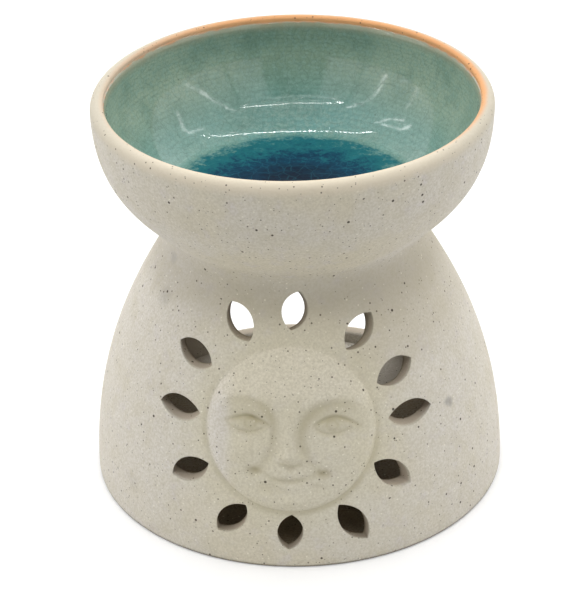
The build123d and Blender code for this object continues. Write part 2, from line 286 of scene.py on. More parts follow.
# Size, number round the bowl and start of each wave in the edge
edge_waves = ((1, 3, 1.1), (0.7, 7, 4.0), (0.4, 16, 2.3))
throwing_step = 2.9 * mm
throwing_depth = 0.006 * mm
throwing_start = 4 * mm

# The side tone is painted light on the bowl's upper sides
glaze_tones = {
    "low": (106, 156, 151),
    "high": (136, 160, 139),
    "side": (162, 180, 159),
    "cloud": (100, 134, 118),
    "mottle": (150, 180, 168),
    "ring": (74, 108, 100),
    "fine crack": (66, 98, 92),
    "wide crack": (60, 92, 86),
    "iron": (62, 78, 70),
    "thin": (150, 146, 122),
    "toasted": (188, 124, 70),
}
glaze_rise = (96 * mm, 114 * mm)
lit_side_rise = (100 * mm, 112 * mm)
glaze_cloud = (12 * mm, 3.0, 0.6, 0.42, 0.7, 0.5)
glaze_mottle = (1.5 * mm, 5.0, 0.75, 0.4, 0.68, 0.55)
glaze_warp = (4 * mm, 1.8 * mm)
glaze_ring_step = 1.35 * mm
fine_cracks = (1.3 * mm, 0.12 * mm)
wide_cracks = (3.6 * mm, 0.14 * mm)
wide_warp = (4 * mm, 3 * mm)
glaze_specks = (3.6 * mm, 0.35 * mm, 0.6)
edge_wobble = (4 * mm, 2 * mm)
thin_rise = (121 * mm, 124.6 * mm)
toasted_rise = (124.2 * mm, 125.1 * mm)
glaze_ripple = 9 * mm
ripple_depth = 0.5 * mm
crack_depth = 0.02 * mm

# Glass pool: a level top, slightly dished, that runs up smoothly onto the glaze
pool_rows = 70
pool_spokes = 240
pool_dish = 0.5 * mm
pool_blend = 0.3 * mm
pool_margin = 0.9 * mm
pool_dive = 0.03 * mm
pool_end = pi / 8
pool_tones = {
    "deep": (0, 20, 42),
    "blue": (0, 58, 84),
    "turquoise": (26, 102, 110),
    "line": (60, 150, 168),
}
pool_warp = (5 * mm, 2.4 * mm)
pool_stretch = (0.6, 1, 1)
pool_cloud = 4.5 * mm
pool_cloud_push = 26 * mm
pool_feather = 1.6 * mm
pool_feather_push = 22 * mm
blue_reach = (8 * mm, 28 * mm)
turquoise_reach = (23 * mm, 32 * mm)
celadon_reach = (33 * mm, 42 * mm)
pool_rim = (36.5 * mm, 39 * mm)
pool_cracks = (4.2 * mm, 0.2 * mm)
pool_shine = (35 * mm, 39 * mm)
pool_calm = (34 * mm, 38 * mm)
pool_relief = 0.4 * mm

# Tealight
cup_foil = 0.35 * mm
cup_bead = 0.5 * mm
cup_corner = 1.2 * mm
cup_recess = 0.2 * mm
cup_ring = 0.62
cup_spokes = 288
cup_rows = 24
flutes = 48
flute_depth = 0.22 * mm
wax_clearance = 0.12 * mm
wax_meniscus = 0.45 * mm
wax_rings = 60
wax_ripple = 0.04 * mm
wick_draw = 1.6 * mm
sustainer_spokes = 96
collar_radius = 1.5 * mm
collar_pinch = 0.08
wick_strands = 3
wick_turns = 5
strand_radius = 0.42 * mm
strand_sides = 12
wick_steps = 140
wick_lean = 0.5 * mm

# Fine marks of the tealight's materials
smudge_size = 9 * mm
draw_mark = 0.5 * mm
rolling_mark = 0.25 * mm
metal_depth = 0.02 * mm
crystal_size = 2.2 * mm
crystal_depth = 0.05 * mm
wax_glow = (2 * mm, 1.8 * mm, 1.5 * mm)
fibre_size = 0.16 * mm
fibre_depth = 0.06 * mm


def places_of(node):
    """The corners of a CAD node as an array."""
    return np.array([vertex.co for vertex in frame["nodes"][node].data.vertices])


def reach_of(places):
    """How far places lie from the z axis."""
    return np.hypot(places[..., 0], places[..., 1])


def smooth(value, low, high):
    """A smooth step from 0 at low to 1 at high."""
    share = np.clip((value - low) / (high - low), 0, 1)
    return share * share * (3 - 2 * share)


def even_turns(count):
    """The angles of this many spokes, evenly round the axis."""
    return 2 * pi * np.arange(count) / count


def even_shares(count):
    """Even shares up to 1, a row for each."""
    return np.arange(1, count + 1)[:, None] / count


def turned(radii, heights, spokes):
    """Rings round the z axis; radii and heights have a row for each ring."""
    radii, heights, turns = np.broadcast_arrays(radii, heights, even_turns(spokes))
    return np.stack((radii * np.cos(turns), radii * np.sin(turns), heights), axis=-1)


def add_rings(shape, start, rings, end):
    """Adds a closed form to the shape: a point, rings of equal length and a point."""
    loops = [[shape.verts.new(place) for place in ring] for ring in rings]
    for inner, outer in zip(loops, loops[1:]):
        for number in range(len(inner)):
            shape.faces.new((inner[number - 1], inner[number], outer[number], outer[number - 1]))
    for place, loop in ((start, loops[0]), (end, loops[-1])):
        pole = shape.verts.new(place)
        for number in range(len(loop)):
            shape.faces.new((pole, loop[number - 1], loop[number]))


def add_object(name, data):
    """An object of the scene, made of a mesh or a camera."""
    made = bpy.data.objects.new(name, data)
    bpy.context.scene.collection.objects.link(made)
    return made


def add_shape(shape, name, material):
    """An object of the scene, made of a shape and a material."""
    mesh = bpy.data.meshes.new(name)
    shape.to_mesh(mesh)
    shape.free()
    mesh.materials.append(material)
    return add_object(name, mesh)


def make_piece(shape, name, node, material):
    """Turns a shape into a smooth piece that stands for a CAD node."""
    bmesh.ops.recalc_face_normals(shape, faces=shape.faces)
    for face in shape.faces:
        face.smooth = True
    piece = add_shape(shape, name, material)
    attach(piece, bodies[node])
    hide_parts(node)
    return piece


def make_dome(material, skin):
    """The dome with crisp cuts and smooth walls; its throat runs on into the foot of the bowl."""
    shape = bmesh.new()
    shape.from_mesh(frame["nodes"]["dome_shell"].data)
    bmesh.ops.remove_doubles(shape, verts=shape.verts, dist=weld_distance)
    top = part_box("dome_shell")[1].z
    for vertex in shape.verts:
        if vertex.co.z > top - weld_distance:
            vertex.co.z += throat_overlap
    mesh = make_piece(shape, "dome", "dome_shell", material).data
    mesh.set_sharp_from_angle(angle=sharp_angle)
    places = np.array([mesh.vertices[loop.vertex_index].co for loop in mesh.loops])
    normals = np.array([corner.vector for corner in mesh.corner_normals])
    facing = np.repeat([face.normal for face in mesh.polygons], 3, axis=0)
    heights = np.clip(places[:, 2], *skin_heights)
    miss = np.abs(reach_of(places) - skin.radius(heights))
    outward = skin.normals(places)
    on_skin = (miss < skin_miss) & (places[:, 2] == heights) & ((facing * outward).sum(axis=1) > 0.9)
    normals[on_skin] = outward[on_skin]
    mesh.normals_split_custom_set(normals)


class Skin:
    """The dome's round outer skin: its radius as a smooth curve over the height."""

    def __init__(self, node):
        places = places_of(node)
        radii = reach_of(places)
        slices = np.round(places[:, 2] / skin_slice)
        outermost = np.array([np.argmax(np.where(slices == s, radii, 0)) for s in np.unique(slices)])
        heights = places[outermost, 2]
        inside = (heights > skin_heights[0]) & (heights < skin_heights[1])
        self.radius = np.polynomial.Polynomial.fit(heights[inside], radii[outermost][inside], 7)
        self.lean = self.radius.deriv()

    def simple(self):
        """Factors of a cubic that follows the radius, lowest power first."""
        heights = np.linspace(*skin_heights, 100)
        return np.polynomial.polynomial.polyfit(heights, self.radius(heights), 3)

    def face_frame(self):
        """The middle of the sun face on the skin, and its directions right, up and out."""
        lean = self.lean(ring_height)
        outward = np.array((0, -1, -lean)) / hypot(1, lean)
        upward = np.array((0, -lean, 1)) / hypot(1, lean)
        rightward = np.array((1, 0, 0))
        middle = np.array((0, -self.radius(ring_height), ring_height))
        middle = middle + face_shift[0] * rightward + face_shift[1] * upward
        right = cos(face_turn) * rightward + sin(face_turn) * upward
        top = cos(face_turn) * upward - sin(face_turn) * rightward
        return middle, right, top, outward

    def normals(self, places):
        """Unit normals of the skin at places on it."""
        level = places[..., :2] / reach_of(places)[..., None]
        normals = np.concatenate((level, -self.lean(places[..., 2:])), axis=-1)
        return normals / np.linalg.norm(normals, axis=-1, keepdims=True)

    def under(self, places, outward):
        """The points of the skin straight under places, seen along outward."""
        depth = np.zeros(places.shape[:-1])
        for _ in range(skin_steps):
            at = places - depth[..., None] * outward
            miss = reach_of(at) - self.radius(at[..., 2])
            change = at[..., :2] @ outward[:2] / reach_of(at)
            depth += miss / (change - self.lean(at[..., 2]) * outward[2])
        return places - depth[..., None] * outward


class Relief:
    """Heights over a flat net, in mm, added up from soft marks, and the shade painted into its hollows
    and creases.
    """

    def __init__(self, across, up):
        self.across = across
        self.up = up
        self.height = np.zeros_like(across)
        self.painted_shade = np.zeros_like(across)

    def swelling(self, place, size, rise):
        reach = ((self.across - place[0]) / size[0]) ** 2 + ((self.up - place[1]) / size[1]) ** 2
        self.height += rise * np.exp(-2 * reach)
        # Painted shade in a hollow
        self.painted_shade += hollow_shade * max(-rise, 0) * np.exp(-2 * reach)

    def nearest(self, points):
        """Distance to a line through the points, and the share of it at the nearest spot."""
        points = np.array(points, float)
        best = np.full(self.across.shape, np.inf)
        share = np.zeros(self.across.shape)
        for number, (start, end) in enumerate(zip(points, points[1:])):
            run = end - start
            along = (self.across - start[0]) * run[0] + (self.up - start[1]) * run[1]
            along = np.clip(along / (run @ run), 0, 1)
            gap = np.hypot(self.across - start[0] - along * run[0], self.up - start[1] - along * run[1])
            closer = gap < best
            best = np.where(closer, gap, best)
            share = np.where(closer, (number + along) / (len(points) - 1), share)
        return best, share

    def stroke(self, points, width, rise):
        """A ridge, or a crease where rise is below zero, that fades at both ends."""
        gap, share = self.nearest(curved(points))
        fade = np.sqrt(np.clip(4 * share * (1 - share), 0, 1))
        self.height += rise * fade * np.exp(-2 * (gap / width) ** 2)
        # Painted shade along a crease
        self.painted_shade += crease_shade * max(-rise, 0) * fade * np.exp(-1.2 * (gap / width) ** 2)

    def ring(self, place, radius, width, rise):
        gap = np.hypot(self.across - place[0], self.up - place[1]) - radius
        self.height += rise * np.exp(-2 * (gap / width) ** 2)
        # Painted shade in the groove of the ring
        self.painted_shade += crease_shade * max(-rise, 0) * np.exp(-2 * (gap / width) ** 2)

    def bridge(self, root, tip, widths, rises):
        """A straight ridge that changes in width and rise from its root to its tip."""
        gap, share = self.nearest((root, tip))
        width = widths[0] + (widths[1] - widths[0]) * share
        rise = rises[0] + (rises[1] - rises[0]) * share
        self.height += rise * np.exp(-2 * (gap / width) ** 2)


def curved(points, steps=8):
    """Points of a smooth curve through the given ones."""
    points = np.array(points, float)
    padded = np.vstack((2 * points[0] - points[1], points, 2 * points[-1] - points[-2]))
    curve = [points[0]]
    for a, b, c, d in zip(padded, padded[1:], padded[2:], padded[3:]):
        for share in np.arange(1, steps + 1) / steps:
            bend = (2 * a - 5 * b + 4 * c - d) * share**2 + (3 * b - a - 3 * c + d) * share**3
            curve.append((2 * b + (c - a) * share + bend) / 2)
    return curve


def face_relief(across, up):
    """Height of the face over the dome at a spot, in mm, and how much shade is painted there."""
    relief = Relief(across, up)
    for swelling in swellings.values():
        relief.swelling(*swelling)
    for stroke in strokes.values():
        relief.stroke(*stroke)
    for place in irises:
        relief.ring(place, iris_radius, iris_width, -iris_depth)
    relief.bridge(nose_root, nose_tip, nose_widths, nose_rises)
    brow = smooth(up, 0.25 * face_radius / mm, 0.9 * face_radius / mm)
    width = border_width + (brow_border_width - border_width) * brow
    rise = face_rise + (brow_border_rise - face_rise) * brow
    inwards = face_radius / mm - np.hypot(across, up)
    pillow = (1 - (1 - np.clip(inwards / width, 0, 1)) ** 2) ** 0.8
    height = (rise + border_sink) * pillow - border_sink + relief.height * smooth(inwards, 0, width)
    return height, relief.painted_shade


def make_face(material, skin):
    """The sun face: a soft relief laid on the dome's curved skin."""
    middle, right, top, outward = skin.face_frame()

    def laid(radii, turns, front):
        """Points of the net, on the face's front or inside the clay under it."""
        across, up = radii * np.cos(turns), radii * np.sin(turns)
        flat = middle + across[..., None] * right + up[..., None] * top
        on_skin = skin.under(flat, outward)
        height = face_relief(across / mm, up / mm)[0] * mm if front else -face_back_depth
        return on_skin + skin.normals(on_skin) * np.broadcast_to(height, across.shape)[..., None]

    turns = even_turns(face_spokes)
    front_radii = face_radius * even_shares(face_rings)
    back_radii = face_radius * even_shares(face_back_rings)[::-1]
    rings = np.concatenate((laid(front_radii, turns, True), laid(back_radii, turns, False)))
    shape = bmesh.new()
    add_rings(shape, laid(np.zeros(1), 0, True)[0], rings, laid(np.zeros(1), 0, False)[0])
    face = make_piece(shape, "face", "sun_face", material)
    across, up, _ = turned(front_radii, 0, face_spokes).reshape(-1, 3).T / mm
    # Painted shade of the creases and hollows, on the points of the face's front
    painted_shade = np.zeros(len(face.data.vertices))
    painted_shade[: across.size] = face_relief(across, up)[1]
    face.data.attributes.new("painted_shade", "FLOAT", "POINT").data.foreach_set("value", painted_shade)


class Lining:
    """The glaze's inner face, as distances from a point over the bowl, and its thickness."""

    def __init__(self):
        places = places_of("bowl_glaze")
        self.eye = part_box("bowl")[1].z
        radii = reach_of(places)
        drops = self.eye - places[:, 2]
        turns = np.arctan2(drops, radii)
        reaches = np.hypot(radii, drops)
        middle = np.polynomial.Polynomial.fit(turns, reaches, 9)
        inner = reaches < middle(turns)
        self.reach = np.polynomial.Polynomial.fit(turns[inner], reaches[inner], 9)
        at_axis = places[radii < mm, 2]
        self.thickness = at_axis.max() - at_axis.min()

    def profile(self, turns, beyond):
        """Radius and height at these angles down from level, moved out from the hollow by beyond."""
        reach = self.reach(turns) + beyond
        return reach * np.cos(turns), self.eye - reach * np.sin(turns)


def make_glaze(material, lining):
    """The glaze that lines the bowl, with throwing rings and a wavy upper edge."""
    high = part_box("bowl_glaze")[1]
    around = even_turns(glaze_spokes)
    wave = sum(size * np.sin(number * around + start) for size, number, start in edge_waves)
    tallest = sum(size for size, _, _ in edge_waves)
    edge_drop = lining.eye - high.z + edge_wave * (1 - wave / tallest) / 2
    edge = edge_drop / high.x
    shares = even_shares(glaze_rows)
    turns = pi / 2 + (edge - pi / 2) * shares
    from_edge = (turns - edge) * high.x
    rings = throwing_depth * np.sin(2 * pi * from_edge / throwing_step + 0.4 * wave)
    rings = rings * smooth(from_edge, 0, throwing_start) * smooth(shares, 1, 0.45)
    back_depth = lining.thickness + glaze_sink
    beyond = rings + (lining.thickness - weld_distance) * (1 - smooth(from_edge, 0, glaze_feather))
    front = turned(*lining.profile(turns, beyond), glaze_spokes)
    back_turns = pi / 2 + (edge - pi / 2) * even_shares(glaze_back_rows)[::-1]
    back = turned(*lining.profile(back_turns, back_depth), glaze_spokes)
    start = (0, 0, lining.profile(pi / 2, 0)[1])
    end = (0, 0, lining.profile(pi / 2, back_depth)[1])
    shape = bmesh.new()
    add_rings(shape, start, np.concatenate((front, back)), end)
    make_piece(shape, "glaze", "bowl_glaze", material)


def make_pool(material, lining):
    """The glass in the bottom of the bowl."""
    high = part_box("glass_pool")[1]
    reach = high.x + pool_margin
    turns = np.linspace(pi / 2, pool_end, 400)
    radii, heights = lining.profile(turns, 0)
    rows = reach * np.arange(pool_rows + 1) / pool_rows
    glaze = np.interp(rows, radii, heights)
    level = high.z - pool_dish * (1 - (rows / high.x) ** 2)
    top = (level + glaze + np.hypot(level - glaze, pool_blend)) / 2
    last = reach - pool_margin / 3
    proud = (top - glaze) * (1 - smooth(rows, high.x, last)) - weld_distance
    proud = proud - pool_dive * smooth(rows, last, reach)
    top = glaze + proud
    bottom = glaze - glaze_sink
    front = turned(rows[1:, None], top[1:, None], pool_spokes)
    back = turned(rows[:0:-1, None], bottom[:0:-1, None], pool_spokes)
    shape = bmesh.new()
    add_rings(shape, (0, 0, top[0]), np.concatenate((front, back)), (0, 0, bottom[0]))
    make_piece(shape, "pool", "glass_pool", material)


def arc(middle, radius, start, end, steps):
    """Radius and height of points on an arc, with its turns in degrees."""
    turns = np.radians(np.linspace(start, end, steps))
    return np.array(middle) + radius * np.stack((np.cos(turns), np.sin(turns)), axis=-1)


def straight(start, end, steps):
    """Points on a straight line, without its ends."""
    return np.linspace(start, end, steps + 2)[1:-1]


def make_cup(material):
    """The tealight's cup: thin foil with flutes, a pressed ring in its base and a rolled rim."""
    low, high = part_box("tealight_cup")
    radius = high.x - cup_bead
    rim = high.z - cup_bead
    base = low.z
    foot = radius - cup_bead
    outer_corner = arc((foot - cup_corner, base + cup_corner), cup_corner, -90, 0, 8)
    inner_corner = arc((foot - cup_corner, base + cup_corner), cup_corner - cup_foil, 0, -90, 8)
    outside = straight(outer_corner[-1], (radius, rim - cup_bead), cup_rows)
    roll = arc((radius, rim), cup_bead, -80, 200, 18)
    inside = straight((radius - cup_foil, rim - cup_bead), inner_corner[0], cup_rows)
    ring = cup_ring * foot
    recess = base + cup_recess
    pressed = ((ring - cup_corner, recess), (ring, recess), (ring + cup_foil, base))
    profile = np.concatenate((pressed, outer_corner, outside, roll, inside, inner_corner))
    radii, heights = profile.T[..., None]
    over_base = smooth(heights, base + cup_corner, base + 3 * cup_corner)
    under_rim = smooth(heights, rim - cup_corner, rim - 3 * cup_corner)
    fluting = flute_depth * (1 + np.cos(flutes * even_turns(cup_spokes))) / 2
    radii = radii - fluting * over_base * under_rim
    shape = bmesh.new()
    add_rings(shape, (0, 0, recess), turned(radii, heights, cup_spokes), (0, 0, base + cup_foil))
    make_piece(shape, "cup", "tealight_cup", material)


def make_wax(material):
    """The wax: level, drawn up a little at the cup and at the wick."""
    low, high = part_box("tealight_wax")
    radius = high.x - wax_clearance
    rows = radius * even_shares(wax_rings)
    around = 3 * even_turns(cup_spokes)
    ripples = wax_ripple * np.sin(around + rows / mm * 0.7) * np.sin(rows / mm * 0.5)
    drawn = np.exp(-((radius - rows) / mm) ** 2) + 0.8 * np.exp(-((rows / wick_draw) ** 2))
    top = high.z - wax_meniscus + wax_meniscus * drawn + ripples
    foot = radius - 2 * cup_bead
    side = np.array(((radius, high.z - mm), (foot, low.z + mm), (foot - mm, low.z)))
    rings = np.concatenate((turned(rows, top, cup_spokes), turned(*side.T[..., None], cup_spokes)))
    shape = bmesh.new()
    add_rings(shape, (0, 0, high.z - 0.2 * wax_meniscus), rings, (0, 0, low.z))
    make_piece(shape, "wax", "tealight_wax", material)


def make_sustainer(material):
    """The steel disc with a pinched collar that holds the wick."""
    low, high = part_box("wick_sustainer")
    wick_low, wick_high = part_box("tealight_wick")
    disc_top = wick_low.z
    edge = (disc_top - low.z) / 2
    collar_top = high.z - edge
    start = ((wick_high.x, low.z),)
    rim = arc((high.x - edge, low.z + edge), edge, -90, 90, 7)
    collar = collar_radius
    bend = ((collar + edge, disc_top), (collar, disc_top + edge), (collar, collar_top))
    lip = arc((collar - edge, collar_top), edge, 0, 180, 7)
    radii, heights = np.concatenate((start, rim, bend, lip)).T[..., None]
    pinches = collar_pinch * np.cos(4 * even_turns(sustainer_spokes))
    pinch = 1 - pinches * smooth(heights, disc_top, high.z)
    rings = turned(radii * pinch, heights, sustainer_spokes)
    shape = bmesh.new()
    add_rings(shape, (0, 0, low.z), rings, (0, 0, collar_top))
    make_piece(shape, "sustainer", "wick_sustainer", material)


def make_wick(material):
    """The cotton wick: three braided strands that lean a little at the top."""
    low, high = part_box("tealight_wick")
    swing = high.x - strand_radius
    heights = np.linspace(low.z, high.z - strand_radius, wick_steps)
    circle = turned(strand_radius, 0, strand_sides)
    lean = wick_lean * smooth(heights, (low.z + high.z) / 2, high.z)
    shape = bmesh.new()
    for strand in range(wick_strands):
        phase = 2 * pi * (np.arange(wick_steps) * wick_turns / wick_steps + strand / wick_strands)
        line = np.stack((swing * np.cos(phase) + lean, swing / 2 * np.sin(2 * phase), heights), axis=-1)
        end = line[-1] + np.array((0, 0, strand_radius / 2))
        add_rings(shape, line[0], line[:, None] + circle, end)
    make_piece(shape, "wick", "tealight_wick", material)


def set_up_camera():
    """The photograph's view: from the front, 30 degrees above the table."""
    data = bpy.data.cameras.new("camera")
    data.lens = camera_lens
    data.sensor_width = camera_sensor
    camera = add_object("camera", data)
    turn = (camera_aim - camera_place).to_track_quat("-Z", "Y").to_matrix().to_4x4()
    camera.matrix_world = Matrix.Translation(camera_place) @ turn @ Matrix.Rotation(camera_roll, 4, "Z")
    bpy.context.scene.camera = camera


class Graph:
    """A node tree with short names for what the materials use."""

    def __init__(self, owner):
        owner.use_nodes = True
        self.tree = owner.node_tree
        self.tree.nodes.clear()

    def node(self, kind, inputs=(), **settings):
        made = self.tree.nodes.new("ShaderNode" + kind)
        for name, value in settings.items():
            setattr(made, name, value)
        for name, value in dict(inputs).items():
            self.put(made, name, value)
        return made

    def put(self, node, name, value):
        """Links a socket to the node's input, or sets it there."""
        if isinstance(value, bpy.types.NodeSocket):
            self.tree.links.new(value, node.inputs[name])
        else:
            node.inputs[name].default_value = value

    def math(self, operation, first, second=0.0, third=0.0):
        return self.node("Math", {0: first, 1: second, 2: third}, operation=operation).outputs[0]

    def product(self, first, *others):
        for other in others:
            first = self.math("MULTIPLY", first, other)
        return first

    def total(self, first, *others):
        for other in others:
            first = self.math("ADD", first, other)
        return first

    def less(self, first, second):
        return self.math("SUBTRACT", first, second)

    def ratio(self, part, whole):
        return self.math("DIVIDE", part, whole)

    def gap(self, first, second):
        return self.math("ABSOLUTE", self.less(first, second))

    def vector(self, operation, first, second):
        return self.node("VectorMath", {0: first, 1: second}, operation=operation).outputs

    def steps(self, value, low, high, start=0.0, end=1.0):
        """A smooth step from start at low to end at high."""
        limits = {"Value": value, "From Min": low, "From Max": high, "To Min": start, "To Max": end}
        return self.node("MapRange", limits, interpolation_type="SMOOTHSTEP").outputs["Result"]

    def mix(self, share, first, second):
        """A blend of two colours."""
        return self.node("Mix", {0: share, 6: first, 7: second}, data_type="RGBA").outputs[2]

    def noise(self, place, size, detail=2.0, roughness=0.5, distortion=0.0):
        """A cloud of about this size, around 0.5."""
        inputs = {"Vector": place, "Scale": 1 / size, "Detail": detail, "Roughness": roughness}
        inputs["Distortion"] = distortion
        return self.node("TexNoise", inputs).outputs["Fac"]

    def patches(self, place, size, detail, roughness, low, high, share):
        """Soft patches of a cloud, from nothing at its low value to share at its high one."""
        return self.steps(self.noise(place, size, detail, roughness), low, high, 0, share)

    def cracks(self, place, cell, width):
        """Fine lines between cells; 1 on a line."""
        edges = self.node("TexVoronoi", {"Vector": place, "Scale": 1 / cell}, feature="DISTANCE_TO_EDGE")
        return self.steps(edges.outputs["Distance"], 0, width / cell, 1, 0)

    def warped(self, place, size, amount):
        """The place, pushed about by a cloud."""
        cloud = self.node("TexNoise", {"Vector": place, "Scale": 1 / size, "Detail": 2.0})
        centred = self.vector("SUBTRACT", cloud.outputs["Color"], (0.5, 0.5, 0.5))[0]
        scaled = self.vector("MULTIPLY", centred, (amount, amount, amount))[0]
        return self.vector("ADD", place, scaled)[0]

    def bump(self, height, distance, strength=1.0, normal=None):
        inputs = {"Height": height, "Distance": distance, "Strength": strength}
        if normal is not None:
            inputs["Normal"] = normal
        return self.node("Bump", inputs).outputs["Normal"]

    def polynomial(self, value, factors):
        """A polynomial of the value, with the factors from the lowest power up."""
        total = float(factors[-1])
        for factor in factors[-2::-1]:
            total = self.math("MULTIPLY_ADD", total, value, float(factor))
        return total

    def length(self, *parts):
        """The length of a vector with these parts."""
        return self.math("SQRT", self.total(*(self.product(part, part) for part in parts)))


def colour(red, green, blue):
    """A colour as a screen shows it, 0 to 255, as linear light."""
    shares = (value / 255 for value in (red, green, blue))
    return (*(((s + 0.055) / 1.055) ** 2.4 if s > 0.04 else s / 12.92 for s in shares), 1.0)


class Surface(Graph):
    """A material's graph, with its place in the model and a tone that is built up from layers."""

    def __init__(self, name, tones, levels):
        self.material = bpy.data.materials.new(name)
        super().__init__(self.material)
        self.place = self.node("TexCoord").outputs["Object"]
        self.across, self.back, self.height = self.node("SeparateXYZ", {0: self.place}).outputs
        self.reach = self.length(self.across, self.back)
        self.shader = self.node("BsdfPrincipled", levels)
        self.node("OutputMaterial", {"Surface": self.shader.outputs[0]})
        self.start(tones)

    def start(self, tones):
        """Starts the tone anew, with the first of these."""
        self.tones = {name: colour(*shown) for name, shown in tones.items()}
        self.tone = self.tones[next(iter(tones))]

    def lay(self, tone, *shares):
        """Lays a tone, by its name or from a node, over the others by the product of the shares."""
        self.tone = self.mix(self.product(*shares), self.tone, self.tones.get(tone, tone))

    def specks(self, cell, radius, share):
        """Round grains, at most radius large, in a share of the cells; 1 on a grain."""
        cells = self.node("TexVoronoi", {"Vector": self.place, "Scale": 1 / cell})
        chance = self.node("SeparateColor", {"Color": cells.outputs["Color"]}).outputs["Red"]
        reach = self.steps(chance, 1 - share, 1, 0, radius / cell)
        return self.steps(self.less(reach, cells.outputs["Distance"]), 0, 0.35 * radius / cell)

    def wobble(self, size, amount):
        """A cloud around nothing, half the amount either way."""
        return self.product(self.less(self.noise(self.place, size, 3.0), 0.5), amount)

    def streaks(self, stretch, size):
        """A cloud that is drawn out along one way."""
        drawn = self.node("Mapping", {"Vector": self.place, "Scale": stretch}).outputs[0]
        return self.noise(drawn, size, 3.0, 0.7)

    def sideways(self):
        """0 in front and behind, 1 at the sides."""
        return self.ratio(self.math("ABSOLUTE", self.across), self.total(self.reach, mm))

    def finish(self, roughness, normal=None):
        """Puts the tone, the roughness and the normal into the shader."""
        self.put(self.shader, "Base Color", self.tone)
        self.put(self.shader, "Roughness", roughness)
        if normal is not None:
            self.put(self.shader, "Normal", normal)
        return self.material


def lay_clouds(clay):
    """Warm and lilac-grey clouds, and sides that painted light makes lighter and greyer."""
    clay.lay("cool", clay.patches(clay.place, *clay_clouds["cool"]))
    # Painted light: the sides lighter and greyer
    clay.lay("side", clay.steps(clay.sideways(), 0.3, 0.85, 0, 0.75))
    for name in ("patch", "lilac"):
        clay.lay(name, clay.patches(clay.place, *clay_clouds[name]))


def lay_face(clay, skin):
    """An olive halo round the face, painted light on the brow and the left edge, and painted shade in
    the creases and along the border.
    """
    middle, *axes = skin.face_frame()
    offset = clay.vector("SUBTRACT", clay.place, middle)[0]
    across, up, depth = (clay.vector("DOT_PRODUCT", offset, axis)["Value"] for axis in axes)
    from_middle = clay.length(across, up)
    in_front = clay.steps(depth, *front_depths)
    disc = clay.steps(from_middle, face_radius - mm, face_radius + mm, 1, 0)
    clay.lay("olive", clay.steps(from_middle, *olive_reach, 0.4, 0), in_front)
    # Painted highlight, pale lilac, along the raised left edge of the disc
    clay.lay("left edge", clay.steps(across, *left_highlight_edge, 0.5, 0), disc, in_front)
    # Painted light: the upper face and brow lighter
    clay.lay("brow", clay.steps(up, *lit_brow_rise, 0, 0.5), disc, in_front)
    # Painted shadow along the disc's border, strongest below and made uneven by a cloud, added to the
    # painted shade of the creases and hollows
    border = clay.steps(clay.gap(from_middle, border_radius), 0, border_shade, 1, 0)
    lower = clay.steps(clay.ratio(up, face_radius), -0.9, 1.0, 0.45, 0.08)
    shade_unevenness = clay.steps(clay.noise(clay.place, border_shade_cloud), 0.3, 0.6, 0.45, 1)
    painted_shade = clay.node("Attribute", attribute_name="painted_shade").outputs["Fac"]
    shade_and_toasting = clay.total(painted_shade, clay.product(border, lower, in_front, shade_unevenness))
    clay.lay("crease", clay.math("MINIMUM", shade_and_toasting, 1.0))


def lay_hollows(clay, skin):
    """Painted shade on the cut walls and inside, and painted light where the arch lets in the light."""
    sunk = clay.less(clay.polynomial(clay.height, skin.simple()), clay.reach)
    in_dome = clay.steps(clay.height, *dome_end, 1, 0)
    # Painted shade on the cut walls, in a darker and pinker tone
    clay.lay("cut wall", clay.steps(sunk, *cut_depths, 0, 0.7), in_dome)
    inside = clay.product(clay.steps(sunk, *inside_depths, 0, 0.85), in_dome)
    from_arch = clay.length(clay.across, clay.less(clay.back, arch_back))
    lit = clay.steps(from_arch, *arch_light, 1, 0)
    # Painted shade inside the dome, and painted light inside near the arch
    clay.lay("inside", inside, clay.less(1.0, lit))
    clay.lay("lit inside", inside, lit)


def lay_shades(clay, grain):
    """Painted shade at the waist under the bowl, on the right shoulder and as a contact shadow at the
    edge of the foot, and the grain of the clay.
    """
    # Painted shade under the bowl, round the waist
    clay.lay("waist", clay.steps(clay.gap(clay.height, waist_height), *waist_reach, 0.24, 0))
    # Painted shade on the right shoulder
    rightward = clay.steps(clay.ratio(clay.across, clay.reach), 0.05, 0.6, 0, 0.32)
    over_start = clay.steps(clay.height, *shoulder_start)
    clay.lay("shoulder", rightward, over_start, clay.steps(clay.height, *shoulder_end, 1, 0))
    clay.lay("grain", clay.steps(grain, *cloud_spread, 0, 0.5))
    clay.lay("grog", clay.specks(*grog_specks), 0.5)
    # Painted contact shadow along the bottom edge of the foot
    clay.lay("foot", clay.steps(clay.height, *foot_shadow_heights, 0.85, 0))


def lay_lip(clay):
    """A creamy lip, toasted orange along its inner edge."""
    wobble = clay.wobble(*lip_wobble)
    on_lip = clay.steps(clay.total(clay.height, wobble), *lip_rise)
    to_side = clay.steps(clay.ratio(clay.back, clay.reach), -0.95, -0.2)
    cream = clay.mix(to_side, clay.tones["front lip"], clay.tones["side lip"])
    clay.lay(cream, on_lip, 0.85)
    toward = clay.total(clay.product(clay.across, 0.6), clay.product(clay.back, 0.8))
    shade_and_toasting = clay.steps(clay.ratio(toward, clay.reach), -0.55, 0.75)
    limit = clay.total(clay.product(shade_and_toasting, toasted_gain), toasted_reach)
    inside = clay.less(limit, clay.total(clay.reach, clay.product(wobble, 0.5)))
    strength = clay.total(clay.product(shade_and_toasting, 0.6), 0.2)
    clay.lay("toasted lip", clay.steps(inside, *toasted_edge), on_lip, strength)


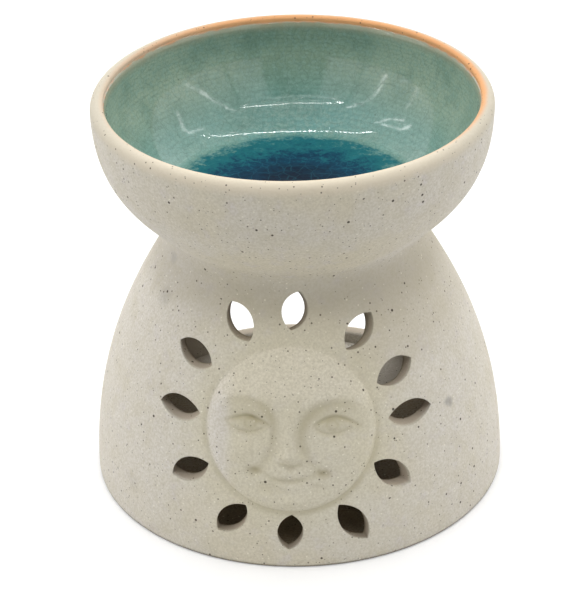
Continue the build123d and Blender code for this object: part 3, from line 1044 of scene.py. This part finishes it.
def lay_specks(clay):
    """A few grey stains, and iron specks of three sizes."""
    blurred = clay.warped(clay.place, stain_blur, stain_blur)
    for spot, radius, strength in stains:
        gap = clay.vector("DISTANCE", blurred, Vector(spot) * mm)["Value"]
        clay.lay("stain", clay.steps(gap, 0.2 * radius * mm, radius * mm, strength, 0))
    for *grains, strength in clay_specks:
        clay.lay("iron", clay.specks(*grains), strength)


def stoneware(skin):
    """Unglazed pale clay, rough and finely grained, with edges that look a little rounded."""
    clay = Surface("stoneware", clay_tones, {"Specular IOR Level": 0.3})
    grain = clay.noise(clay.place, grain_size, 2.0, 0.6)
    lay_clouds(clay)
    lay_face(clay, skin)
    lay_hollows(clay, skin)
    lay_shades(clay, grain)
    lay_lip(clay)
    lay_specks(clay)
    soft = clay.node("Bevel", {"Radius": edge_softness}, samples=6).outputs["Normal"]
    coarse = clay.bump(clay.noise(clay.place, coarse_size, 4.0, 0.6), coarse_depth, 0.5, soft)
    rough = clay.steps(grain, *cloud_spread, 0.78, 0.92)
    return clay.finish(rough, clay.bump(grain, grain_depth, 0.6, coarse))


def lay_glaze(glaze):
    """The celadon's tone, mottled and crackled, lighter at its upper sides by painted light and browner
    at the lip; gives its wide cracks.
    """
    wavy = glaze.warped(glaze.place, *glaze_warp)
    glaze.lay("high", glaze.steps(glaze.height, *glaze_rise))
    # Painted light: the upper sides of the bowl lighter
    aside = glaze.steps(glaze.sideways(), 0.1, 0.75, 0, 0.85)
    glaze.lay("side", aside, glaze.steps(glaze.height, *lit_side_rise, 0.3, 1))
    glaze.lay("cloud", glaze.patches(glaze.place, *glaze_cloud))
    glaze.lay("mottle", glaze.patches(wavy, *glaze_mottle))
    rings = glaze.math("SINE", glaze.product(glaze.height, 2 * pi / glaze_ring_step))
    glaze.lay("ring", glaze.steps(rings, -1, 1, 0, 0.1))
    glaze.lay("fine crack", glaze.cracks(wavy, *fine_cracks), 0.26)
    wide = glaze.cracks(glaze.warped(glaze.place, *wide_warp), *wide_cracks)
    glaze.lay("wide crack", wide, 0.22)
    glaze.lay("iron", glaze.specks(*glaze_specks), 0.5)
    near_edge = glaze.total(glaze.height, glaze.wobble(*edge_wobble))
    glaze.lay("thin", glaze.steps(near_edge, *thin_rise, 0, 0.75))
    glaze.lay("toasted", glaze.steps(near_edge, *toasted_rise, 0, 0.85))
    return wide


def celadon():
    """Glossy blue-green glaze with fine crackle."""
    glaze = Surface("celadon", glaze_tones, {"Specular IOR Level": 0.5})
    cracks = lay_glaze(glaze)
    ripples = glaze.bump(glaze.noise(glaze.place, glaze_ripple), ripple_depth, 0.08)
    return glaze.finish(0.03, glaze.bump(glaze.less(1.0, cracks), crack_depth, 0.2, ripples))


def pool():
    """Deep blue crackled glass that turns turquoise and then celadon at its edge."""
    glass = Surface("pool", glaze_tones, {"Specular IOR Level": 0.15})
    lay_glaze(glass)
    edge_tone = glass.tone
    glass.start(pool_tones)
    wavy = glass.warped(glass.place, *pool_warp)
    stretched = glass.node("Mapping", {"Vector": wavy, "Scale": pool_stretch}).outputs[0]
    clouds = glass.noise(stretched, pool_cloud, 5.0, 0.7)
    feathers = glass.noise(wavy, pool_feather, 4.0, 0.75)
    uneven = glass.total(
        glass.reach,
        glass.product(glass.less(clouds, 0.5), pool_cloud_push),
        glass.product(glass.less(feathers, 0.5), pool_feather_push),
    )
    glass.lay("blue", glass.steps(uneven, *blue_reach))
    glass.lay("turquoise", glass.steps(uneven, *turquoise_reach))
    glass.lay(edge_tone, glass.steps(uneven, *celadon_reach))
    glass.lay(edge_tone, glass.steps(glass.reach, *pool_rim))
    glass.lay("line", glass.cracks(wavy, *pool_cracks), 0.12)
    rough = glass.steps(glass.reach, *pool_shine, 0.5, 0.05)
    relief = glass.steps(glass.reach, *pool_calm, 0.3, 0)
    return glass.finish(rough, glass.bump(clouds, pool_relief, relief))


def aluminium():
    """Thin drawn aluminium: bright, with fine draw marks and small smudges."""
    tones = {"smudged": (182, 183, 187), "clean": (204, 204, 207)}
    metal = Surface("aluminium", tones, {"Metallic": 1})
    smudges = metal.noise(metal.place, smudge_size, 2.0, 0.5)
    metal.lay("clean", smudges)
    marks = metal.streaks((1, 1, 0.15), draw_mark)
    rough = metal.steps(smudges, *cloud_spread, 0.22, 0.34)
    return metal.finish(rough, metal.bump(marks, metal_depth, 0.4))


def wax():
    """White paraffin wax with faint crystals and a soft glow."""
    tones = {"clear": (228, 223, 210), "cloudy": (214, 208, 193)}
    glow = {"Subsurface Weight": 0.3, "Subsurface Radius": wax_glow, "Subsurface Scale": 1}
    candle = Surface("wax", tones, glow)
    crystals = candle.noise(candle.place, crystal_size, 4.0, 0.7, 0.8)
    candle.lay("cloudy", candle.steps(crystals, 0.35, 0.7))
    rough = candle.steps(crystals, *cloud_spread, 0.32, 0.5)
    return candle.finish(rough, candle.bump(crystals, crystal_depth, 0.5))


def steel():
    """Tinned steel with fine rolling marks."""
    tones = {"dark": (184, 184, 186), "bright": (206, 206, 205)}
    metal = Surface("steel", tones, {"Metallic": 1})
    marks = metal.streaks((0.1, 1, 1), rolling_mark)
    metal.lay("bright", marks)
    rough = metal.steps(marks, *cloud_spread, 0.25, 0.45)
    return metal.finish(rough, metal.bump(marks, metal_depth, 0.5))


def cotton():
    """Braided cotton with fine fibres, stiff with wax."""
    braid = Surface("cotton", {"waxed": (214, 206, 188), "dry": (240, 236, 224)}, {})
    fibres = braid.streaks((1, 1, 0.3), fibre_size)
    braid.lay("dry", braid.steps(fibres, 0.35, 0.65))
    return braid.finish(0.8, braid.bump(fibres, fibre_depth, 0.8))


def floor_material():
    """White to the camera and in reflections, less the object's shadow."""
    levels = {"Specular IOR Level": 0, "Emission Color": white}
    card = Surface("floor", {"white": (255, 255, 255)}, levels)
    card.tone = card.steps(card.back, *tent_edge, room_tone, floor_tone)
    path = card.node("LightPath").outputs
    seen = card.math("MAXIMUM", path["Is Camera Ray"], path["Is Glossy Ray"])
    seen = card.math("MAXIMUM", seen, path["Is Transmission Ray"])
    glow = card.steps(card.back, *tent_edge, room_glow, floor_glow)
    card.put(card.shader, "Emission Strength", card.product(seen, glow))
    return card.finish(1)


def make_floor():
    """A wide round table top, just under the foot."""
    shape = bmesh.new()
    bmesh.ops.create_circle(shape, cap_ends=True, segments=96, radius=floor_radius)
    floor = add_shape(shape, "floor", floor_material())
    floor.location.z = cad_box[0][2]


def crease_of_light(graph, direction, points, width):
    """1 on a soft line over the tent's wall through points, in degrees of turn and height."""
    line = 0.0
    for start, end in zip(points, points[1:]):
        run = Vector((*end, 0)) - Vector((*start, 0))
        beside = graph.vector("SUBTRACT", direction, (*start, 0))[0]
        along = graph.vector("DOT_PRODUCT", beside, run / run.length_squared)["Value"]
        along = graph.math("MINIMUM", graph.math("MAXIMUM", along, 0.0), 1.0)
        nearest = graph.node("VectorMath", {0: run, "Scale": along}, operation="SCALE").outputs[0]
        gap = graph.vector("DISTANCE", beside, nearest)["Value"]
        line = graph.math("MAXIMUM", line, graph.steps(gap, 0, width, 1, 0))
    return line


def light_tent():
    """White walls all round, with a dark opening in front; white to the camera."""
    world = bpy.data.worlds.new("tent")
    bpy.context.scene.world = world
    graph = Graph(world)
    direction = graph.node("TexCoord").outputs["Generated"]
    parts = graph.node("SeparateXYZ", {0: direction}).outputs
    turn = graph.math("DEGREES", graph.math("ARCTAN2", parts["X"], graph.product(parts["Y"], -1.0)))
    height = graph.math("DEGREES", graph.math("ARCSINE", parts["Z"]))
    side = graph.math("ABSOLUTE", turn)
    walls = graph.math("MAXIMUM", graph.steps(side, *opening_side), graph.steps(height, *opening_top))
    upward = graph.steps(height, *ceiling_start, tent_strength, ceiling_share * tent_strength)
    strength = graph.total(
        graph.product(graph.less(1.0, walls), opening_strength),
        graph.product(walls, upward),
        graph.product(graph.steps(side, *back_turn), graph.steps(height, *back_height, back_extra, 0)),
    )
    seen_from = graph.node("CombineXYZ", {0: turn, 1: height}).outputs[0]
    uneven = graph.steps(graph.noise(direction, fold_cloud, 4.0, 0.7), 0.35, 0.6, *fold_light)
    for points, width, extra in folds:
        line = crease_of_light(graph, seen_from, points, width)
        strength = graph.total(strength, graph.product(line, uneven, extra))
    path = graph.node("LightPath").outputs
    seen = graph.math("MAXIMUM", path["Is Camera Ray"], path["Is Transmission Ray"])
    level = graph.node("Mix", {0: seen, 2: strength, 3: 1.0}, data_type="FLOAT").outputs[0]
    light = graph.node("Background", {"Color": white, "Strength": level})
    graph.node("OutputWorld", {"Surface": light.outputs[0]})


def lamp_row(name, across, back, half_length, bend, turn, lamps):
    """A strip of small lamps under the tent's ceiling, as bright squares that face down."""
    shape = bmesh.new()
    half = lamp_width / 2
    corners = ((-half, -half), (half, -half), (half, half), (-half, half))
    for number in range(lamps):
        along = ((2 * number + 1) / lamps - 1) * half_length
        aside = bend * (along / half_length) ** 2
        shape.faces.new([shape.verts.new((along + a, aside + b, 0)) for a, b in corners])
    material = bpy.data.materials.new(name)
    graph = Graph(material)
    light = graph.node("Emission", {"Color": white, "Strength": lamp_strength})
    graph.node("OutputMaterial", {"Surface": light.outputs[0]})
    row = add_shape(shape, name, material)
    row.location = (across, back, lamp_height)
    row.rotation_euler.z = radians(turn)


set_up_camera()
make_floor()
light_tent()
for number, row in enumerate(lamp_rows):
    lamp_row("lamp_row_%d" % number, *row)

record = frame["record"]
bodies = {node: body for body, nodes in record["behaviour"]["bodies"].items() for node in nodes}

skin = Skin("dome_shell")
clay = stoneware(skin)
for node in ("base_floor", "bowl"):
    data = frame["nodes"][node].data
    data.materials.clear()
    data.materials.append(clay)
make_dome(clay, skin)
make_face(clay, skin)
lining = Lining()
make_glaze(celadon(), lining)
make_pool(pool(), lining)
make_cup(aluminium())
make_wax(wax())
make_sustainer(steel())
make_wick(cotton())

bpy.context.scene.view_settings.view_transform = "Standard"
